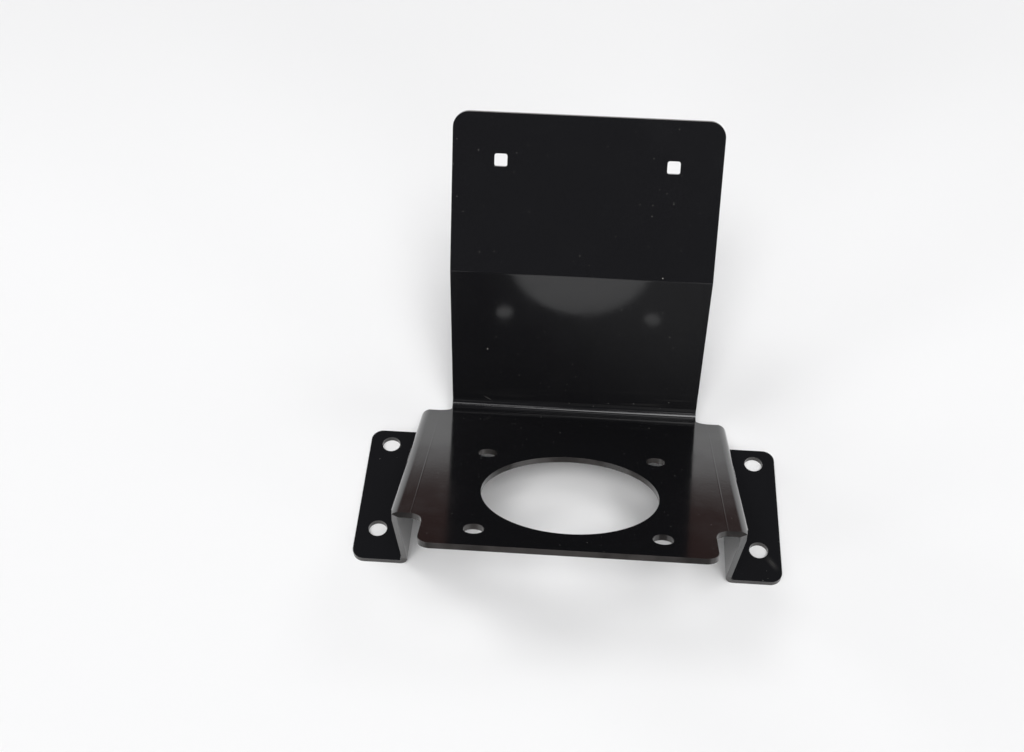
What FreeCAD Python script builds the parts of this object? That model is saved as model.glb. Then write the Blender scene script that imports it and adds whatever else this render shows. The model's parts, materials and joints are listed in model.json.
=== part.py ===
"""A fire extinguisher bracket folded from one steel sheet.

A sloping platform with a large hole stands on two side legs with bolt-down feet. At its rear the sheet
folds up into a back plate, which leans further back above a shallow kink and has two square bolt holes.
Millimetres, +Z up, +Y to the rear. The origin is on the floor, in the middle of the four foot holes.
"""
import FreeCAD, Part

import math
import os

import Sketcher

V = FreeCAD.Vector

SIZES = {
    # the sheet and its folds
    "sheet_thickness": 3.2,
    "side_fold_outer_radius": 12.0,
    "rear_fold_inner_radius": 4.0,
    "kink_inner_radius": 3.0,
    "foot_fold_inner_radius": 1.6,
    # widths, left to right: a foot's width and the strip's margin start at the leg's outer face
    "width_over_legs": 192.0,
    "foot_width": 29.0,
    "strip_side_margin": 20.0,
    # the platform, measured along its own slope from its front edge to its rear fold's corner
    "platform_slope": 28.5,
    "platform_length": 187.0,
    "platform_rear_height": 12.8,
    "platform_front_reach": 106.0,
    "notch_depth": 32.0,
    "wing_rear_relief": 10.0,
    # the back plate, measured up its own front face from the rear fold's corner
    "rear_fold_inside_angle": 70.0,
    "kink_angle": 20.0,
    "kink_height": 104.0,
    "back_plate_height": 196.5,
    # legs and feet
    "foot_length": 95.5,
    "foot_upstand": 6.0,
    "leg_shoulder_radius": 9.0,
    # holes, with the foot holes' margins measured from the foot's edges to their centres
    "large_hole_diameter": 97.0,
    "large_hole_setback": 66.5,
    "platform_bolt_diameter": 11.0,
    "platform_bolt_spacing": 97.0,
    "foot_bolt_diameter": 11.0,
    "foot_bolt_side_margin": 12.75,
    "foot_bolt_front_margin": 21.5,
    "foot_bolt_rear_margin": 10.5,
    "square_hole_side": 7.8,
    "square_hole_rounding": 0.6,
    "square_hole_spacing": 97.0,
    "square_hole_top_margin": 26.5,
    # rounded outline corners
    "foot_corner_radius": 7.0,
    "platform_corner_radius": 7.0,
    "back_plate_corner_radius": 9.0,
    "inner_corner_radius": 4.0,
}


class Size:
    """A number together with the sheet expression that gives it."""

    def __init__(self, value, text):
        self.value = value
        self.text = text

    def __add__(self, other):
        other = size(other)
        return Size(self.value + other.value, f"({self.text} + {other.text})")

    def __sub__(self, other):
        other = size(other)
        return Size(self.value - other.value, f"({self.text} - {other.text})")

    def __mul__(self, other):
        other = size(other)
        return Size(self.value * other.value, f"({self.text} * {other.text})")

    def __truediv__(self, other):
        other = size(other)
        return Size(self.value / other.value, f"({self.text} / {other.text})")

    def __neg__(self):
        return Size(-self.value, f"(0 - {self.text})")

    def __radd__(self, other):
        return size(other) + self

    def __rsub__(self, other):
        return size(other) - self

    def __rmul__(self, other):
        return size(other) * self


def size(number):
    """Turns a bare number into a Size and leaves a Size as it is."""
    return number if isinstance(number, Size) else Size(float(number), repr(float(number)))


def sine(angle):
    return Size(math.sin(math.radians(angle.value)), f"sin({angle.text})")


def cosine(angle):
    return Size(math.cos(math.radians(angle.value)), f"cos({angle.text})")


def tangent(angle):
    return Size(math.tan(math.radians(angle.value)), f"tan({angle.text})")


def along(start, direction, distance):
    """The point that lies a distance from start in a direction of the side view."""
    return (start[0] + direction[0] * distance, start[1] + direction[1] * distance)


def mitre(corner, first, second, thickness):
    """Where the two faces set off from a corner by the sheet's thickness meet again."""
    share = thickness / (1.0 + first[0] * second[0] + first[1] * second[1])
    return along(corner, (first[0] + second[0], first[1] + second[1]), share)


def fill_sheet(doc):
    """Writes the driving dimensions into the sheet and returns them as sizes."""
    sheet = doc.addObject("Spreadsheet::Sheet", "Sizes")
    named = {}
    for row, (alias, number) in enumerate(SIZES.items(), start=1):
        sheet.set(f"A{row}", alias)
        sheet.set(f"B{row}", str(number))
        sheet.setAlias(f"B{row}", alias)
        named[alias] = Size(number, f"Sizes.{alias}")
    doc.recompute()
    return named


def add_following_sizes(v):
    """Adds the sizes that follow from the driving ones."""
    v["width_over_feet"] = v["width_over_legs"] + v["foot_width"] * 2
    v["strip_width"] = v["width_over_legs"] - v["strip_side_margin"] * 2
    v["wing_length"] = v["platform_length"] - v["wing_rear_relief"]
    v["platform_front_height"] = v["platform_rear_height"] + v["platform_length"] * sine(v["platform_slope"])
    v["foot_bolt_spacing_across"] = v["width_over_feet"] - v["foot_bolt_side_margin"] * 2
    v["foot_bolt_spacing_along"] = v["foot_length"] - v["foot_bolt_front_margin"] - v["foot_bolt_rear_margin"]
    v["square_hole_height"] = v["back_plate_height"] - v["square_hole_top_margin"]


def sketch_on(body, name, role, base=(0, 0, 0), turn=None):
    """A sketch on one of the body's origin planes, moved by base and turned about its own x axis."""
    sketch = body.newObject("Sketcher::SketchObject", name)
    plane = [f for f in body.Origin.OriginFeatures if f.Role == role][0]
    sketch.AttachmentSupport = [(plane, "")]
    sketch.MapMode = "FlatFace"
    base = [size(b) for b in base]
    turn = size(0) if turn is None else turn
    rotation = FreeCAD.Rotation(V(1, 0, 0), turn.value)
    sketch.AttachmentOffset = FreeCAD.Placement(V(*[b.value for b in base]), rotation)
    for axis, b in zip("xyz", base):
        sketch.setExpression(f"AttachmentOffset.Base.{axis}", b.text)
    if turn.value:
        sketch.setExpression("AttachmentOffset.Rotation.Angle", turn.text)
    return sketch


def fix_point(sketch, geometry, position, point):
    """Ties a point's two coordinates to the sheet, or to an axis where a coordinate is nought."""
    for kind, axis, part in (("DistanceX", -2, point[0]), ("DistanceY", -1, point[1])):
        if part.value == 0:
            sketch.addConstraint(Sketcher.Constraint("PointOnObject", geometry, position, axis))
        else:
            index = sketch.addConstraint(Sketcher.Constraint(kind, -1, 1, geometry, position, part.value))
            sketch.setExpression(f"Constraints[{index}]", part.text)


def outline(sketch, corners):
    """A closed outline through (x, y) or (x, y, radius) corners, the latter rounded by tangent arcs."""
    count = len(corners)
    points = [V(c[0].value, c[1].value, 0) for c in corners]
    ends = []
    for i, corner in enumerate(corners):
        back = (points[i - 1] - points[i]).normalize()
        ahead = (points[(i + 1) % count] - points[i]).normalize()
        radius = corner[2].value if len(corner) > 2 else 0.0
        half = back.getAngle(ahead) / 2
        reach = radius / math.tan(half)
        centre = points[i] + (back + ahead).normalize() * (radius / math.sin(half))
        ends.append((points[i] + back * reach, points[i] + ahead * reach, centre, radius))
    lines = [sketch.addGeometry(Part.LineSegment(ends[i][1], ends[(i + 1) % count][0]), False)
             for i in range(count)]
    for i, corner in enumerate(corners):
        before, after = lines[i - 1], lines[i]
        if len(corner) == 2:
            sketch.addConstraint(Sketcher.Constraint("Coincident", before, 2, after, 1))
            fix_point(sketch, after, 1, corner)
            continue
        tip = sketch.addGeometry(Part.Point(points[i]), True)
        fix_point(sketch, tip, 1, corner)
        sketch.addConstraint(Sketcher.Constraint("PointOnObject", tip, 1, before))
        sketch.addConstraint(Sketcher.Constraint("PointOnObject", tip, 1, after))
        add_rounding(sketch, before, after, ends[i], corner[2])


def add_rounding(sketch, before, after, end, radius):
    """The arc that joins two lines of an outline, tangent to both."""
    start, stop, centre, number = end
    turns_left = (start - centre).cross(stop - centre).z > 0
    if not turns_left:
        start, stop = stop, start
    first = math.atan2(start.y - centre.y, start.x - centre.x)
    last = math.atan2(stop.y - centre.y, stop.x - centre.x)
    circle = Part.Circle(centre, V(0, 0, 1), number)
    arc = sketch.addGeometry(Part.ArcOfCircle(circle, first, last), False)
    begin, finish = (1, 2) if turns_left else (2, 1)
    sketch.addConstraint(Sketcher.Constraint("Tangent", before, 2, arc, begin))
    sketch.addConstraint(Sketcher.Constraint("Tangent", arc, finish, after, 1))
    index = sketch.addConstraint(Sketcher.Constraint("Radius", arc, number))
    sketch.setExpression(f"Constraints[{index}]", radius.text)


def circle(sketch, x, y, diameter):
    """A full circle whose centre and diameter follow the sheet."""
    shape = Part.Circle(V(x.value, y.value, 0), V(0, 0, 1), diameter.value / 2)
    index = sketch.addGeometry(shape, False)
    fix_point(sketch, index, 3, (x, y))
    rule = sketch.addConstraint(Sketcher.Constraint("Diameter", index, diameter.value))
    sketch.setExpression(f"Constraints[{rule}]", diameter.text)


def pad(body, name, sketch, length, reverse=False, both_ways=False):
    feature = body.newObject("PartDesign::Pad", name)
    feature.Profile = sketch
    feature.Length = length.value
    feature.setExpression("Length", length.text)
    feature.Reversed = reverse
    feature.Midplane = both_ways
    body.Document.recompute()
    return feature


def pocket(body, name, sketch, depth, both_ways=False):
    """Cuts the sketch's outline into the body, and stops if nothing was cut."""
    before = body.Shape.Volume
    feature = body.newObject("PartDesign::Pocket", name)
    feature.Profile = sketch
    feature.Length = depth.value
    feature.setExpression("Length", depth.text)
    feature.Midplane = both_ways
    body.Document.recompute()
    if not feature.Shape.Volume < before:
        raise RuntimeError(f"{name} cuts nothing")
    return feature


def round_edges(body, name, spots, direction, radius):
    """Rounds the straight edges that pass through the given spots in the given direction."""
    base = body.Tip
    names = []
    for spot in spots:
        for index, edge in enumerate(base.Shape.Edges, start=1):
            straight = edge.Curve.TypeId == "Part::GeomLine"
            if straight and edge.Curve.Direction.cross(direction).Length < 1e-6:
                if edge.distToShape(Part.Vertex(spot))[0] < 1e-4:
                    names.append(f"Edge{index}")
    if len(names) != len(spots):
        raise RuntimeError(f"{name} found {len(names)} edges for {len(spots)} spots")
    feature = body.newObject("PartDesign::Fillet", name)
    feature.Base = (base, names)
    feature.Radius = radius.value
    feature.setExpression("Radius", radius.text)
    body.Document.recompute()
    return feature


def side_view(v):
    """The named points and directions of the bracket as seen from its side, as (y, z) pairs."""
    slope = v["platform_slope"]
    lean = slope + v["rear_fold_inside_angle"] - 90
    upper_lean = lean + v["kink_angle"]
    side = {
        "back": (cosine(slope), -sine(slope)),
        "up": (sine(slope), cosine(slope)),
        "plate_up": (sine(lean), cosine(lean)),
        "plate_rear": (cosine(lean), -sine(lean)),
        "upper_lean": upper_lean,
        "upper_up": (sine(upper_lean), cosine(upper_lean)),
        "upper_rear": (cosine(upper_lean), -sine(upper_lean)),
        "front": (-v["platform_front_reach"], v["platform_front_height"]),
        "foot_front": -(v["foot_bolt_spacing_along"] / 2 + v["foot_bolt_front_margin"]),
    }
    side["foot_rear"] = side["foot_front"] + v["foot_length"]
    side["corner"] = along(side["front"], side["back"], v["platform_length"])
    side["kink"] = along(side["corner"], side["plate_up"], v["kink_height"])
    side["top"] = along(side["kink"], side["upper_up"], v["back_plate_height"] - v["kink_height"])
    return side


def on_platform(v, side, run, depth=0.0):
    """A point of the side view a run back along the platform and a depth below its top face."""
    return along(along(side["front"], side["back"], size(run)), side["up"], -size(depth))


def add_saddle(body, v, side):
    """The platform's wings with the two legs: a deep channel section, cut to the legs' side outline."""
    t = v["sheet_thickness"]
    half = v["width_over_legs"] / 2
    inner = half - t
    drop = v["platform_front_height"] / cosine(v["platform_slope"])
    round_out = v["side_fold_outer_radius"]
    round_in = round_out - t
    section = sketch_on(body, "SaddleSection", "XZ_Plane",
                        (0, v["platform_front_height"], v["platform_front_reach"]), -v["platform_slope"])
    outline(section, [(-half, size(0), round_out), (half, size(0), round_out), (half, -drop), (inner, -drop),
                      (inner, -t, round_in), (-inner, -t, round_in), (-inner, -drop), (-half, -drop)])
    pad(body, "Saddle", section, v["platform_length"], reverse=True)

    # the leg's front edge runs from the notch, round a shoulder, to the front of the foot
    upstand = v["foot_upstand"]
    notch = v["notch_depth"]
    shoulder_run = v["leg_shoulder_radius"] * tangent((90 - v["platform_slope"]) / 2)
    trim = sketch_on(body, "LegOutline", "YZ_Plane")
    outline(trim, [on_platform(v, side, notch, -t),
                   on_platform(v, side, notch, t),
                   (*on_platform(v, side, notch + shoulder_run, t), v["leg_shoulder_radius"]),
                   (side["foot_front"], upstand),
                   (side["foot_rear"], upstand),
                   on_platform(v, side, v["wing_length"], t),
                   on_platform(v, side, v["wing_length"], -t)])
    far = v["platform_length"] + v["platform_front_reach"]
    outline(trim, [(-far, -far), (far, -far), (far, far), (-far, far)])
    pocket(body, "LegTrim", trim, v["width_over_feet"], both_ways=True)


def add_strip(body, v, side):
    """The strip that is the platform's middle and, folded up at the rear, the back plate."""
    t = v["sheet_thickness"]
    fold = v["rear_fold_inner_radius"]
    bend = v["kink_inner_radius"]
    under = (-side["up"][0], -side["up"][1])
    profile = sketch_on(body, "StripProfile", "YZ_Plane")
    outline(profile, [side["front"],
                      (*side["corner"], fold),
                      (*side["kink"], bend + t),
                      side["top"],
                      along(side["top"], side["upper_rear"], t),
                      (*mitre(side["kink"], side["plate_rear"], side["upper_rear"], t), bend),
                      (*mitre(side["corner"], under, side["plate_rear"], t), fold + t),
                      along(side["front"], under, t)])
    pad(body, "Strip", profile, v["strip_width"], both_ways=True)


def add_feet(body, v, side):
    """The two feet, each an outward flange under its leg."""
    t = v["sheet_thickness"]
    leg = v["width_over_legs"] / 2
    outer = v["width_over_feet"] / 2
    fold = v["foot_fold_inner_radius"]
    upstand = v["foot_upstand"]
    section = sketch_on(body, "FootSections", "XZ_Plane", (0, 0, -side["foot_rear"]))
    for sign in (size(1), size(-1)):
        outline(section, [(sign * leg, upstand), (sign * (leg - t), upstand),
                          (sign * (leg - t), size(0), fold + t), (sign * outer, size(0)),
                          (sign * outer, t), (sign * leg, t, fold)])
    pad(body, "Feet", section, v["foot_length"])


def add_corner_roundings(body, v, side):
    """The rounded corners of the sheet's outline."""
    half = v["strip_width"].value / 2
    outer = v["width_over_feet"].value / 2
    middle = v["sheet_thickness"].value / 2
    up = V(0, side["up"][0].value, side["up"][1].value)
    rear = V(0, side["upper_rear"][0].value, side["upper_rear"][1].value)

    def spots(x, point):
        return [V(s * x, point[0].value, point[1].value) for s in (-1, 1)]

    feet = [spot for y in (side["foot_front"], side["foot_rear"]) for spot in spots(outer, (y, size(middle)))]
    round_edges(body, "FootCorners", feet, V(0, 0, 1), v["foot_corner_radius"])
    round_edges(body, "PlatformCorners", spots(half, on_platform(v, side, 0, middle)), up,
                v["platform_corner_radius"])
    inner = [spot for run in (v["notch_depth"], v["wing_length"])
             for spot in spots(half, on_platform(v, side, run, middle))]
    round_edges(body, "InnerCorners", inner, up, v["inner_corner_radius"])
    top = along(side["top"], side["upper_rear"], size(middle))
    round_edges(body, "BackPlateCorners", spots(half, top), rear, v["back_plate_corner_radius"])


def cut_holes(body, v, side):
    """The large hole and bolt holes of the platform, the foot holes and the square holes."""
    t = v["sheet_thickness"]
    signs = (size(-1), size(1))
    platform = sketch_on(body, "PlatformHoles", "XY_Plane",
                         (0, -v["platform_front_reach"], v["platform_front_height"]), -v["platform_slope"])
    centre = v["large_hole_setback"]
    bolt = v["platform_bolt_spacing"] / 2
    circle(platform, size(0), centre, v["large_hole_diameter"])
    for across in signs:
        for forward in signs:
            circle(platform, across * bolt, centre + forward * bolt, v["platform_bolt_diameter"])
    pocket(body, "PlatformHoleCut", platform, t * 2)

    feet = sketch_on(body, "FootHoles", "XY_Plane", (0, 0, t))
    for across in signs:
        for forward in signs:
            circle(feet, across * v["foot_bolt_spacing_across"] / 2,
                   forward * v["foot_bolt_spacing_along"] / 2, v["foot_bolt_diameter"])
    pocket(body, "FootHoleCut", feet, t * 2)

    plate = sketch_on(body, "SquareHoles", "XZ_Plane", (0, side["kink"][1], -side["kink"][0]),
                      -side["upper_lean"])
    reach = v["square_hole_side"] / 2
    rounding = v["square_hole_rounding"]
    height = v["square_hole_height"] - v["kink_height"]
    for across in signs:
        x = across * v["square_hole_spacing"] / 2
        outline(plate, [(x - reach, height - reach, rounding), (x + reach, height - reach, rounding),
                        (x + reach, height + reach, rounding), (x - reach, height + reach, rounding)])
    pocket(body, "SquareHoleCut", plate, t * 2)


def check_model(doc, parts):
    """Stops before anything is written if a feature failed or a sub-part isn't one valid solid."""
    doc.recompute()
    failed = [o.Name for o in doc.Objects if {"Invalid", "Error"} & set(o.State)]
    if failed:
        raise RuntimeError(f"failed features: {failed}")
    for part in parts:
        if part.Shape.isNull() or not part.Shape.isValid() or len(part.Shape.Solids) != 1:
            raise RuntimeError(f"{part.Label} isn't one valid solid")


def main():
    doc = FreeCAD.newDocument("ExtinguisherBracket")
    v = fill_sheet(doc)
    add_following_sizes(v)
    side = side_view(v)
    body = doc.addObject("PartDesign::Body", "Bracket")
    body.Label = "bracket"
    add_saddle(body, v, side)
    add_strip(body, v, side)
    add_feet(body, v, side)
    add_corner_roundings(body, v, side)
    cut_holes(body, v, side)
    check_model(doc, [body])
    os.makedirs("parts", exist_ok=True)
    body.Shape.exportStep(os.path.join("parts", f"{body.Label}.step"))
    box = body.Shape.BoundBox
    print(f"{body.Label}: {box.XLength:.1f} x {box.YLength:.1f} x {box.ZLength:.1f} mm,"
          f" {body.Shape.Volume / 1000:.1f} cm3")
    centre = body.Shape.CenterOfGravity
    print(f"centre of gravity {centre.x:.1f}, {centre.y:.1f}, {centre.z:.1f}, lowest point {box.ZMin:.2f}")


main()
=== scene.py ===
"""A folded steel extinguisher bracket in gloss black powder coat, on a pale floor under soft studio light."""

import json
import math

import bmesh
import bpy
from mathutils import Matrix, Vector
from mathutils.bvhtree import BVHTree

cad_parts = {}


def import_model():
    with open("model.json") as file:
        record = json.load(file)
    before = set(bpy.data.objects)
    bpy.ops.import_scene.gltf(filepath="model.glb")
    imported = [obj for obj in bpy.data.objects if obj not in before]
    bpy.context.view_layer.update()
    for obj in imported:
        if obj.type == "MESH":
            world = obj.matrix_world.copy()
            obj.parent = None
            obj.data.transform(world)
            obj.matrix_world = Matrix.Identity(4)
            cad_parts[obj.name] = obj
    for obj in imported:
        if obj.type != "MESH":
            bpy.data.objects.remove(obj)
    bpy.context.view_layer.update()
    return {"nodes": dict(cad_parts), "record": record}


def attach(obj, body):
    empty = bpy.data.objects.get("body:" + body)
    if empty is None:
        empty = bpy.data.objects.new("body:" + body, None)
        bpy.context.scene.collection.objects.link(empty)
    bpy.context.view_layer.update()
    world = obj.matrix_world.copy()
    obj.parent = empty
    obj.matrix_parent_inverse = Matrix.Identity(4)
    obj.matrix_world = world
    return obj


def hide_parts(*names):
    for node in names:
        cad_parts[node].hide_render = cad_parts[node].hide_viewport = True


MM = 0.001

# the camera, worked out from the photograph's perspective
IMAGE_WIDTH = 1024
CAMERA_PLACE = Vector((-2.7, -482.3, 663.8)) * MM
CAMERA_YAW = math.radians(-3.82)
CAMERA_PITCH = math.radians(-48.87)
CAMERA_ROLL = math.radians(0.15)
FOCAL_PIXELS = 1346.1
SENSOR_WIDTH = 36.0

# the sheet as it was modelled: out from the middle plane, or along the slope from the platform's front edge
SHEET_THICKNESS = 3.2 * MM
LEG_FACE = 96 * MM
SIDE_FOLD_RADIUS = 12 * MM
FOOT_FLAT_START = 97.65 * MM
STRIP_SIDE = 76 * MM
INNER_CORNER_RADIUS = 4 * MM
LARGE_HOLE_SETBACK = 66.5 * MM
NOTCH_DEPTH = 32 * MM
WING_LENGTH = 177 * MM
SQUARE_HOLE_SPACING = 97 * MM
SQUARE_HOLE_SIDE = 7.8 * MM
SQUARE_HOLE_ROUNDING = 0.6 * MM

# the forms that the photograph shows of it: tighter side folds with legs drawn in, wider inner corners, and
# smaller, rounder square holes
SHOWN_FOLD_START = 89 * MM
LEG_INSET = 1.4 * MM
FOOT_INSET = 0.5 * MM
LEG_DROP = 62 * MM
NOTCH_CORNER_GROWTH = (2.0, 2.0)
RELIEF_CORNER_GROWTH = (2.5, 1.0)
SHOWN_HOLE_SIDE = 7.3 * MM
SHOWN_HOLE_ROUNDING = 1.4 * MM

# the edges that the coat rounds off, and how exactly points and faces are told apart
EDGE_ROUNDING = 0.4 * MM
ROUNDING_SEGMENTS = 2
SHARP_ANGLE = math.radians(30)
FLAT_ANGLE = math.radians(0.5)
TOLERANCE = 0.01 * MM
WELD_DISTANCE = 1e-4 * MM
THICKNESS_TOLERANCE = 0.15
PROBE_INSET = 0.01 * SHEET_THICKNESS

# the coat's colours
COAT = (0.007, 0.007, 0.0079, 1.0)
# pale rubbed wear on the back plate, and the same pale colour painted as a glint on the right foot
RUBBED_AND_GLINT_COAT = (0.3, 0.29, 0.27, 1.0)
DUST = (0.42, 0.41, 0.38, 1.0)
CUT_EDGE = (0.016, 0.0148, 0.0142, 1.0)
WORN_CUT_EDGE = (0.04, 0.0368, 0.035, 1.0)
# the rims' colours: the paler one is partly worn coat and partly a painted highlight along the edges
RIM = (0.02, 0.0185, 0.018, 1.0)
PALE_RIM_WEAR_AND_HIGHLIGHT = (0.1, 0.093, 0.089, 1.0)
COAT_IOR = 1.55

# roughness, from the smoothest places to the roughest
COAT_ROUGHNESS = (0.1, 0.15)
CUT_EDGE_ROUGHNESS = (0.12, 0.2)
RIM_ROUGHNESS = (0.2, 0.36)

# how strongly marks and dust colour the coat, and what they add to its roughness
MARK_SHARE = 0.14
DUST_SHARE = 0.8
RUBBED_ROUGHNESS = 0.25
SCUFF_AND_GLINT_ROUGHNESS = 0.4
DUST_ROUGHNESS = 0.5

# noises, as scale and detail
STREAK_NOISE = (1.0, 4.0)
HAZE_NOISE = (45.0, 5.0)
SWAY_NOISE = (30.0, 1.0)
PEEL_NOISE = (420.0, 1.0)
EDGE_NOISE = (60.0, 4.0)
GRAIN_NOISE = (900.0, 3.0)
RIM_NOISE = (120.0, 3.0)

# the parts of a noise's range over which it shows
STREAK_RANGE = (0.5, 0.75)
HAZE_RANGE = (0.35, 0.75)
EDGE_RANGE = (0.3, 0.7)
RIM_RANGE = (0.35, 0.65)

# where a Mix node keeps its colours, among sockets of the same names
MIX_FIRST = 6
MIX_SECOND = 7
MIX_RESULT = 2

# bumps, as strength and distance
WAVE_BUMP = (0.05, 0.5 * MM)
PRESS_BUMP = (0.65, 0.08 * MM)
PEEL_BUMP = (0.03, 0.2 * MM)
GRAIN_BUMP = (0.1, 0.2 * MM)

# dust: the spacing and radius of the specks, and the share of places that have one
FINE_DUST = (4.0 * MM, 0.15 * MM, 0.8)
COARSE_DUST = (11 * MM, 0.3 * MM, 0.35)
SPECK_CORE = 0.6
CHANCE_STEP = 0.001

# from where to where the back plate begins rearward, and its rubbed band fades upwards and grows to the right
BACK_PLATE_START = (56 * MM, 60 * MM)
RUBBED_HEIGHTS = (14 * MM, 34 * MM)
RUBBED_ACROSS = (-50 * MM, 70 * MM)
RUBBED_LEFT_SHARE = 0.1
STREAK_GRAIN = (18.0, 160.0, 260.0)

# a short scuff on the back plate's left, just above the rear fold
SCUFF_ACROSS = -54 * MM
SCUFF_HEIGHT = 20 * MM
SCUFF_REACH = 4 * MM
SCUFF_HALF_WIDTH = 0.7 * MM
SCUFF_SLANT = math.radians(-32)

# a painted highlight: a soft pale glint on top of the right foot, from the front bolt hole towards the corner
FOOT_GLINT_ACROSS = 119.5 * MM
FOOT_GLINT_REARWARD = -40.3 * MM
FOOT_GLINT_REACH = 7 * MM
FOOT_GLINT_HALF_WIDTH = 2.6 * MM
FOOT_GLINT_SLANT = math.radians(-57)
FOOT_GLINT_STRENGTH = 0.6
FOOT_TOP = (4 * MM, 6 * MM)

# the lines that the press tool leaves on the wings, above the feet and in front of the back plate
PRESS_LINE = 82.6 * MM
PRESS_HALF_WIDTH = 0.55 * MM
PRESS_HEIGHTS = (20 * MM, 30 * MM)
PRESS_REARWARD = (50 * MM, 60 * MM)

# the floor in metres. The camera sees pale paper all over, a little darker behind the bracket. What lights
# the bracket or is mirrored in it fades to the dim room in front and to its brown dusk behind.
PAPER = (0.92, 0.92, 0.92, 1.0)
REAR_PAPER = (0.86, 0.86, 0.86, 1.0)
REAR_PAPER_RANGE = (0.2, 0.55)
REAR_FADE = (0.42, 1.15)
FRONT_FADE = (0.6, 1.2)
FLOOR_REAR = 2.5
FLOOR_FRONT = -3.0
FLOOR_SIDE = 2.0

# the world's colours, and the shares of a ray's direction over which they change
ROOM = (0.07, 0.07, 0.078, 1.0)
DUSK = (0.13, 0.065, 0.055, 1.0)
BACKGROUND = (0.9, 0.9, 0.9, 1.0)
DUSK_REARWARD = (0.2, 0.7)
DUSK_HEIGHTS = (0.05, 0.3)
SIDES_HEIGHTS = (0.0, 0.2)
SIDES_LENGTHWISE = (0.5, 0.8)

# soft lights: azimuth and elevation in degrees as seen from the bracket, and brightness, where 1 makes white
# paper that faces the light just white. Azimuth 0 is to the right and 90 behind the back plate.
LIGHT_WIDTH = math.radians(18)
LIGHTS = {
    "front_left": (255, 54, 0.262),
    "front_right": (285, 54, 0.205),
    "overhead_left": (180, 66, 0.130),
    "overhead_right": (300, 66, 0.110),
    "overhead": (300, 78, 0.103),
    "rear_left": (150, 18, 0.105),
    "left": (210, 18, 0.100),
    "low_front_left": (240, 18, 0.093),
    "low_front_right": (300, 18, 0.063),
    "middle_front_right": (285, 30, 0.052),
    "low_right": (330, 18, 0.045),
    "rear_right": (15, 54, 0.057),
    "glint_left": (254, 54, 0.063),
    "glint_right": (291, 54, 0.040),
}
# these flood the scene without a mirror image in the gloss, where the glints beside them leave theirs
UNMIRRORED = ("front_left", "front_right")


class Value:
    """A node socket that takes part in Python sums, each sum making one Math node."""

    def __init__(self, tree, socket):
        self.tree = tree
        self.socket = socket

    def output(self, name):
        """Another output of the node that this value comes from."""
        return Value(self.tree, self.socket.node.outputs[name])

    def math(self, operation, *others, clamp=False):
        settings = {"operation": operation, "use_clamp": clamp}
        return node(self.tree, "Math", settings, dict(enumerate((self, *others))))

    def __add__(self, other):
        return self.math("ADD", other)

    def __sub__(self, other):
        return self.math("SUBTRACT", other)

    def __mul__(self, other):
        return self.math("MULTIPLY", other)

    def __truediv__(self, other):
        return self.math("DIVIDE", other)

    def __radd__(self, other):
        return self.math("ADD", other)

    def __rmul__(self, other):
        return self.math("MULTIPLY", other)

    def __rsub__(self, other):
        return -self + other

    def __neg__(self):
        return self * -1.0

    def clamped(self):
        return self.math("ADD", 0.0, clamp=True)

    def ramp(self, low, high, start=0.0, end=1.0):
        """Goes smoothly from start to end as the value goes from low to high."""
        return node(self.tree, "MapRange", {"interpolation_type": "SMOOTHSTEP"},
                    {"Value": self, "From Min": low, "From Max": high, "To Min": start, "To Max": end})

    def fall(self, low, high):
        """Goes smoothly from 1 to 0 as the value goes from low to high."""
        return self.ramp(low, high, 1.0, 0.0)


def join(tree, slot, item):
    """Feeds a node's input with a value or a plain number."""
    if isinstance(item, Value):
        tree.links.new(item.socket, slot)
    else:
        slot.default_value = item


def node(tree, kind, settings=None, inputs=None, output=0):
    """A shader node with its settings and the values or links of its inputs. Gives one of its outputs."""
    made = tree.nodes.new("ShaderNode" + kind)
    for name, setting in (settings or {}).items():
        setattr(made, name, setting)
    for name, item in (inputs or {}).items():
        join(tree, made.inputs[name], item)
    return Value(tree, made.outputs[output])


def noise(tree, place, scale, detail):
    """Cloudy noise between 0 and 1 that gathers about a half."""
    return node(tree, "TexNoise", {"noise_dimensions": "3D"},
                {"Vector": place, "Scale": scale, "Detail": detail})


def bump(tree, height, strength, distance, below=None):
    """A normal that makes a height visible, on top of the normal below where one is given."""
    made = node(tree, "Bump", None, {"Height": height, "Strength": strength, "Distance": distance})
    if below is not None:
        join(tree, made.socket.node.inputs["Normal"], below)
    return made


def blend(tree, share, first, second):
    """A colour that goes from the first to the second as the share goes from 0 to 1."""
    return node(tree, "Mix", {"data_type": "RGBA"},
                {"Factor": share, MIX_FIRST: first, MIX_SECOND: second}, MIX_RESULT)


def parts_of(tree, vector):
    """The three coordinates of a vector."""
    first = node(tree, "SeparateXYZ", None, {"Vector": vector}, "X")
    return first, first.output("Y"), first.output("Z")


def new_material(name):
    """An empty material with its tree, its shader and the object's own coordinates in metres."""
    material = bpy.data.materials.new(name)
    material.use_nodes = True
    tree = material.node_tree
    shader = next(n for n in tree.nodes if n.type == "BSDF_PRINCIPLED")
    place = node(tree, "TexCoord", output="Object")
    return material, tree, shader, place


def specks(tree, place, spacing, radius, share):
    """Sparse round specks of dust: 1 on a speck and 0 beside it. Only that share of the cells has one."""
    scale = 1 / spacing
    distance = node(tree, "TexVoronoi", None, {"Vector": place, "Scale": scale}, "Distance")
    chance, size, _ = parts_of(tree, distance.output("Color"))
    reach = radius * scale * (0.5 + size)
    return (distance / reach).fall(SPECK_CORE, 1.0) * chance.fall(share - CHANCE_STEP, share)


def line_mark(position, place, half_width):
    """A soft line across a surface where a coordinate has a given value."""
    return ((position - place) / half_width).math("ABSOLUTE").fall(0.0, 1.0)


def slanted_mark(first, second, slant, reach, half_width):
    """A short soft stroke about the spot where two coordinates are 0, at a slant to the first."""
    along = first * math.cos(slant) + second * math.sin(slant)
    beside = second * math.cos(slant) - first * math.sin(slant)
    return line_mark(along, 0.0, reach) * line_mark(beside, 0.0, half_width)


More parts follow.
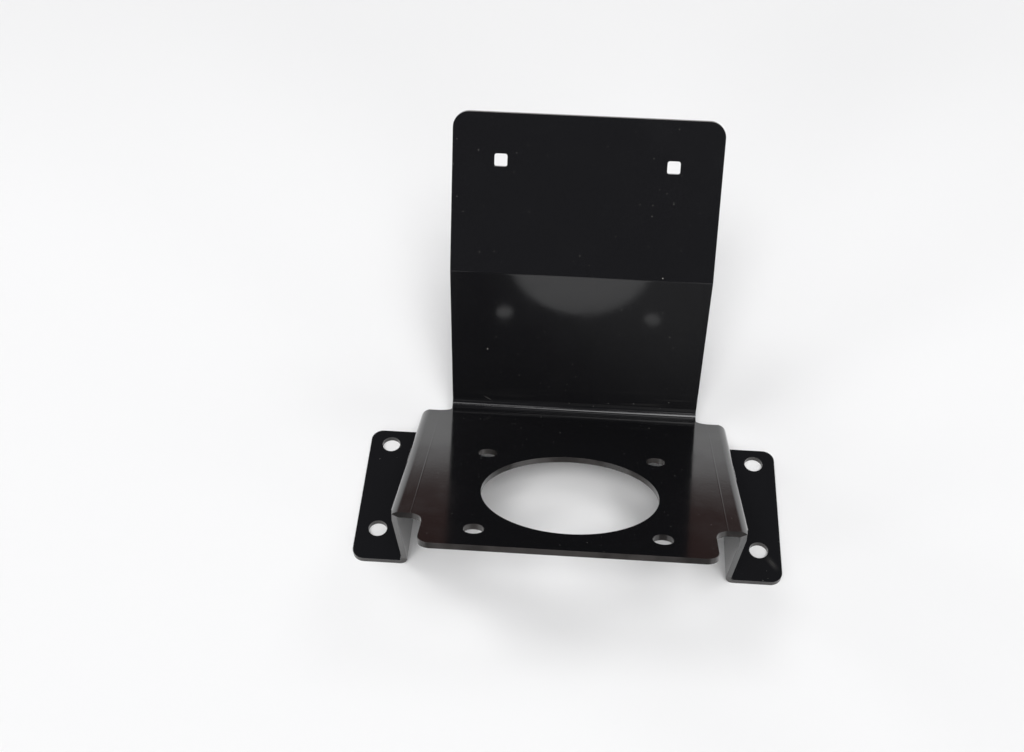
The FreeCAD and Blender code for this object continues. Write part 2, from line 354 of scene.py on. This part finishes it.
def powder_coat():
    """Gloss black powder coat: a faint orange peel, dust, rubbed streaks, the press tool's lines and a
    painted glint on the right foot.
    """
    material, tree, shader, place = new_material("gloss_black_powder_coat")
    shader.inputs["IOR"].default_value = COAT_IOR
    across, rearward, height = parts_of(tree, place)
    on_back_plate = rearward.ramp(*BACK_PLATE_START)

    # dust, in fine and fewer coarse specks
    dust = specks(tree, place, *FINE_DUST).math("MAXIMUM", specks(tree, place, *COARSE_DUST))

    # rubbed streaks and the scuff, a painted highlight on the right foot, and the faint haze of handling
    # everywhere
    stretched = node(tree, "Mapping", None, {"Vector": place, "Scale": STREAK_GRAIN})
    streaks = noise(tree, stretched, *STREAK_NOISE)
    grown = across.ramp(*RUBBED_ACROSS, RUBBED_LEFT_SHARE, 1.0)
    rubbed = streaks.ramp(*STREAK_RANGE) * on_back_plate * height.fall(*RUBBED_HEIGHTS) * grown
    scuff = slanted_mark(across - SCUFF_ACROSS, height - SCUFF_HEIGHT,
                         SCUFF_SLANT, SCUFF_REACH, SCUFF_HALF_WIDTH)
    # a painted highlight: a soft pale glint on the right foot, where the gloss shows a light streak
    foot_glint = slanted_mark(across - FOOT_GLINT_ACROSS, rearward - FOOT_GLINT_REARWARD,
                          FOOT_GLINT_SLANT, FOOT_GLINT_REACH, FOOT_GLINT_HALF_WIDTH)
    scuff_and_glint = scuff * on_back_plate + foot_glint * height.ramp(*FOOT_TOP, FOOT_GLINT_STRENGTH, 0.0)
    haze = noise(tree, place, *HAZE_NOISE).ramp(*HAZE_RANGE, *COAT_ROUGHNESS)

    # the pale colour here is rubbed wear and the scuff on the back plate, and a painted highlight on the
    # right foot
    base = blend(tree, (rubbed + scuff_and_glint).clamped() * MARK_SHARE, COAT, RUBBED_AND_GLINT_COAT)
    join(tree, shader.inputs["Base Color"], blend(tree, dust * DUST_SHARE, base, DUST))
    rough = haze + rubbed * RUBBED_ROUGHNESS + scuff_and_glint * SCUFF_AND_GLINT_ROUGHNESS + dust * DUST_ROUGHNESS
    join(tree, shader.inputs["Roughness"], rough)

    # a slight wave of the sheet, the press lines and orange peel, one on top of the other
    side = across.math("ABSOLUTE")
    press = line_mark(side, PRESS_LINE, PRESS_HALF_WIDTH)
    press = press * height.ramp(*PRESS_HEIGHTS) * rearward.fall(*PRESS_REARWARD)
    waves = bump(tree, noise(tree, place, *SWAY_NOISE), *WAVE_BUMP)
    marks = bump(tree, press, *PRESS_BUMP, waves)
    join(tree, shader.inputs["Normal"], bump(tree, noise(tree, place, *PEEL_NOISE), *PEEL_BUMP, marks))
    return material


def cut_edge_coat():
    """The same powder on the cut edges, where it lies thinner, greyer and rougher."""
    material, tree, shader, place = new_material("powder_coat_on_cut_edges")
    shader.inputs["IOR"].default_value = COAT_IOR
    patches = noise(tree, place, *EDGE_NOISE)
    join(tree, shader.inputs["Base Color"], blend(tree, patches.ramp(*EDGE_RANGE), CUT_EDGE, WORN_CUT_EDGE))
    join(tree, shader.inputs["Roughness"], patches.ramp(*EDGE_RANGE, *CUT_EDGE_ROUGHNESS))
    join(tree, shader.inputs["Normal"], bump(tree, noise(tree, place, *GRAIN_NOISE), *GRAIN_BUMP))
    return material


def rim_coat():
    """The rounded rims between faces and cut edges, where the powder draws back and handling dulled it, and
    where pale patches also stand in as a painted highlight line along the edges.
    """
    material, tree, shader, place = new_material("powder_coat_on_rims")
    shader.inputs["IOR"].default_value = COAT_IOR
    # pale patches on the rims: partly worn coat, partly a painted highlight line along the edges
    patches = noise(tree, place, *RIM_NOISE)
    join(tree, shader.inputs["Base Color"], blend(tree, patches.ramp(*RIM_RANGE), RIM, PALE_RIM_WEAR_AND_HIGHLIGHT))
    join(tree, shader.inputs["Roughness"], patches.ramp(*RIM_RANGE, *RIM_ROUGHNESS))
    return material


def floor_paper():
    """Matt pale studio floor. What lights or is mirrored in the bracket fades out in front and behind."""
    material, tree, shader, place = new_material("studio_floor")
    rearward = parts_of(tree, place)[1]
    unseen = 1.0 - node(tree, "LightPath", output="Is Camera Ray")
    paper = blend(tree, rearward.ramp(*REAR_PAPER_RANGE), PAPER, REAR_PAPER)
    front = blend(tree, (-rearward).ramp(*FRONT_FADE) * unseen, paper, ROOM)
    join(tree, shader.inputs["Base Color"], blend(tree, rearward.ramp(*REAR_FADE) * unseen, front, DUSK))
    shader.inputs["Roughness"].default_value = 0.9
    shader.inputs["Specular IOR Level"].default_value = 0.1
    return material


def on_cut_edge(face, solid):
    """Tells a cut edge from a face of the sheet, which has the other face one thickness behind it."""
    inward = -face.normal
    start = face.calc_center_median() + inward * PROBE_INSET
    depth = solid.ray_cast(start, inward)[3]
    return depth is None or abs(depth / SHEET_THICKNESS - 1.0) > THICKNESS_TOLERANCE


def tighten_side_fold(point, depth, normal):
    """Draws a point of a side fold or leg in, to the smaller radius and the slight lean of the photograph."""
    side = math.copysign(1.0, point.x)
    over = abs(point.x) - (LEG_FACE - SIDE_FOLD_RADIUS)
    rise = SIDE_FOLD_RADIUS - depth
    if over <= -TOLERANCE or abs(point.x) > FOOT_FLAT_START:
        return point
    if rise <= 0:
        inset = LEG_INSET + (FOOT_INSET - LEG_INSET) * (depth - SIDE_FOLD_RADIUS) / LEG_DROP
        return point - Vector((side * inset, 0.0, 0.0))
    shown_radius = LEG_FACE - LEG_INSET - SHOWN_FOLD_START
    reach = math.hypot(over, rise) - SIDE_FOLD_RADIUS + shown_radius
    turn = math.atan2(over, rise)
    across = side * (SHOWN_FOLD_START + reach * math.sin(turn))
    shift_up = SIDE_FOLD_RADIUS - shown_radius + reach * math.cos(turn) - rise
    return Vector((across, point.y, point.z)) + normal * shift_up


def grow_inner_corner(point, corner_run, away, growth, front, backward):
    """Widens the rounding in the corner between the strip's side and a wing's end."""
    out = abs(point.x) - STRIP_SIDE
    run = ((point - front).dot(backward) - corner_run) * away
    limit = INNER_CORNER_RADIUS + TOLERANCE
    if not (0 <= out <= limit and -TOLERANCE <= run <= limit):
        return point
    shift_across = math.copysign(out * (growth[0] - 1.0), point.x)
    return point + Vector((shift_across, 0.0, 0.0)) + backward * (away * run * (growth[1] - 1.0))


def soften_square_hole(point, middle, up, through):
    """Gives a square hole of the back plate the rounder corners and smaller width of the photograph."""
    across = abs(point.x) - SQUARE_HOLE_SPACING / 2
    height = (point - middle).dot(up)
    beside = max(abs(across), abs(height)) > SQUARE_HOLE_SIDE / 2 + TOLERANCE
    if beside or abs((point - middle).dot(through)) > SHEET_THICKNESS:
        return point
    straight = SQUARE_HOLE_SIDE / 2 - SQUARE_HOLE_ROUNDING
    shown_straight = SHOWN_HOLE_SIDE / 2 - SHOWN_HOLE_ROUNDING
    growth = SHOWN_HOLE_ROUNDING / SQUARE_HOLE_ROUNDING
    new_across = math.copysign(shown_straight + (abs(across) - straight) * growth, across)
    new_height = math.copysign(shown_straight + (abs(height) - straight) * growth, height)
    side = math.copysign(1.0, point.x)
    return point + Vector((side * (new_across - across), 0.0, 0.0)) + up * (new_height - height)


def shape_corners(work, mounts):
    """Gives the side folds, the platform's inner corners and the square holes the forms of the photograph."""
    face = mounts["platform_face"]
    top = Vector(face["pos_m"])
    normal = Vector(face["axis"]).normalized()
    backward = Vector((0.0, normal.z, -normal.y))
    front = Vector(mounts["large_hole"]["pos_m"]) - backward * LARGE_HOLE_SETBACK
    middle = Vector(mounts["square_holes"]["pos_m"])
    for vertex in work.verts:
        point = vertex.co
        depth = (top - point).dot(normal)
        if -TOLERANCE < depth < SHEET_THICKNESS + TOLERANCE:
            point = grow_inner_corner(point, NOTCH_DEPTH, -1.0, NOTCH_CORNER_GROWTH, front, backward)
            point = grow_inner_corner(point, WING_LENGTH, 1.0, RELIEF_CORNER_GROWTH, front, backward)
        point = soften_square_hole(point, middle, normal, backward)
        vertex.co = tighten_side_fold(point, depth, normal)


def sheet_piece(source, mounts, coats):
    """The bracket's sheet with its cut edges softly rounded and its folds shaded smooth.

    The coats are those of its faces, its cut edges and its rims.
    """
    mesh = bpy.data.meshes.new("bracket_sheet")
    work = bmesh.new()
    work.from_mesh(source.data)
    bmesh.ops.remove_doubles(work, verts=work.verts, dist=WELD_DISTANCE)
    solid = BVHTree.FromBMesh(work)
    for face in work.faces:
        face.material_index = int(on_cut_edge(face, solid))
    bmesh.ops.dissolve_limit(work, angle_limit=FLAT_ANGLE, verts=work.verts, edges=work.edges)
    shape_corners(work, mounts)
    sharp = [e for e in work.edges if len(e.link_faces) == 2 and e.calc_face_angle(0.0) > SHARP_ANGLE]
    bmesh.ops.bevel(work, geom=sharp, offset=EDGE_ROUNDING, offset_type="OFFSET", segments=ROUNDING_SEGMENTS,
                    profile=0.5, affect="EDGES", clamp_overlap=True, material=2)
    for face in work.faces:
        face.smooth = True
    work.to_mesh(mesh)
    work.free()
    for coat in coats:
        mesh.materials.append(coat)
    mesh.set_sharp_from_angle(angle=SHARP_ANGLE)
    piece = bpy.data.objects.new("bracket_sheet", mesh)
    bpy.context.scene.collection.objects.link(piece)
    weigh = piece.modifiers.new("flat_faces_stay_flat", "WEIGHTED_NORMAL")
    weigh.mode = "FACE_AREA"
    weigh.keep_sharp = True
    return piece


def add_floor():
    """The studio floor under the feet."""
    mesh = bpy.data.meshes.new("studio_floor")
    corners = [(-FLOOR_SIDE, FLOOR_FRONT, 0), (FLOOR_SIDE, FLOOR_FRONT, 0), (FLOOR_SIDE, FLOOR_REAR, 0),
               (-FLOOR_SIDE, FLOOR_REAR, 0)]
    mesh.from_pydata(corners, [], [(0, 1, 2, 3)])
    floor = bpy.data.objects.new("studio_floor", mesh)
    mesh.materials.append(floor_paper())
    bpy.context.scene.collection.objects.link(floor)


def add_camera():
    """The photograph's camera: above the front edge, looking down at the bracket."""
    data = bpy.data.cameras.new("camera")
    data.sensor_width = SENSOR_WIDTH
    data.sensor_fit = "HORIZONTAL"
    data.lens = FOCAL_PIXELS / IMAGE_WIDTH * SENSOR_WIDTH
    camera = bpy.data.objects.new("camera", data)
    forward = Vector((math.sin(CAMERA_YAW) * math.cos(CAMERA_PITCH),
                      math.cos(CAMERA_YAW) * math.cos(CAMERA_PITCH), math.sin(CAMERA_PITCH)))
    level = Vector((math.cos(CAMERA_YAW), -math.sin(CAMERA_YAW), 0.0))
    above = level.cross(forward)
    right = level * math.cos(CAMERA_ROLL) + above * math.sin(CAMERA_ROLL)
    up = right.cross(forward)
    turned = Matrix((right, up, -forward)).transposed().to_4x4()
    camera.matrix_world = Matrix.Translation(CAMERA_PLACE) @ turned
    bpy.context.scene.collection.objects.link(camera)
    bpy.context.scene.camera = camera


def add_light(name, azimuth, elevation, brightness):
    """A distant soft light that shines on the bracket."""
    turn = math.radians(azimuth)
    rise = math.radians(elevation)
    towards = Vector((math.cos(turn) * math.cos(rise), math.sin(turn) * math.cos(rise), math.sin(rise)))
    data = bpy.data.lights.new(name, "SUN")
    data.angle = LIGHT_WIDTH
    data.energy = brightness * math.pi
    light = bpy.data.objects.new(name, data)
    light.location = towards
    light.rotation_euler = towards.to_track_quat("Z", "Y").to_euler()
    light.visible_glossy = name not in UNMIRRORED
    bpy.context.scene.collection.objects.link(light)


def set_world():
    """A dim room, brown low behind. The camera sees it pale, and so does the gloss low at the sides."""
    world = bpy.data.worlds.new("room")
    world.use_nodes = True
    tree = world.node_tree
    background = next(n for n in tree.nodes if n.type == "BACKGROUND")
    _, rearward, height = parts_of(tree, node(tree, "TexCoord", output="Generated"))
    low_rear = rearward.ramp(*DUSK_REARWARD) * height.fall(*DUSK_HEIGHTS)
    room = blend(tree, low_rear, ROOM, DUSK)
    low_sides = height.fall(*SIDES_HEIGHTS) * rearward.math("ABSOLUTE").fall(*SIDES_LENGTHWISE)
    mirrored = node(tree, "LightPath", output="Is Glossy Ray") * low_sides
    seen = node(tree, "LightPath", output="Is Camera Ray").math("MAXIMUM", mirrored)
    join(tree, background.inputs["Color"], blend(tree, seen, room, BACKGROUND))
    background.inputs["Strength"].default_value = 1.0
    bpy.context.scene.world = world


def main():
    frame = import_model()
    mounts = {mount["name"]: mount for mount in frame["record"]["mounts"]}
    bracket = sheet_piece(frame["nodes"]["bracket"], mounts, (powder_coat(), cut_edge_coat(), rim_coat()))
    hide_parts("bracket")
    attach(bracket, "root")
    add_floor()
    add_camera()
    set_world()
    for name, values in LIGHTS.items():
        add_light(name, *values)
    bpy.context.scene.view_settings.view_transform = "Standard"


main()
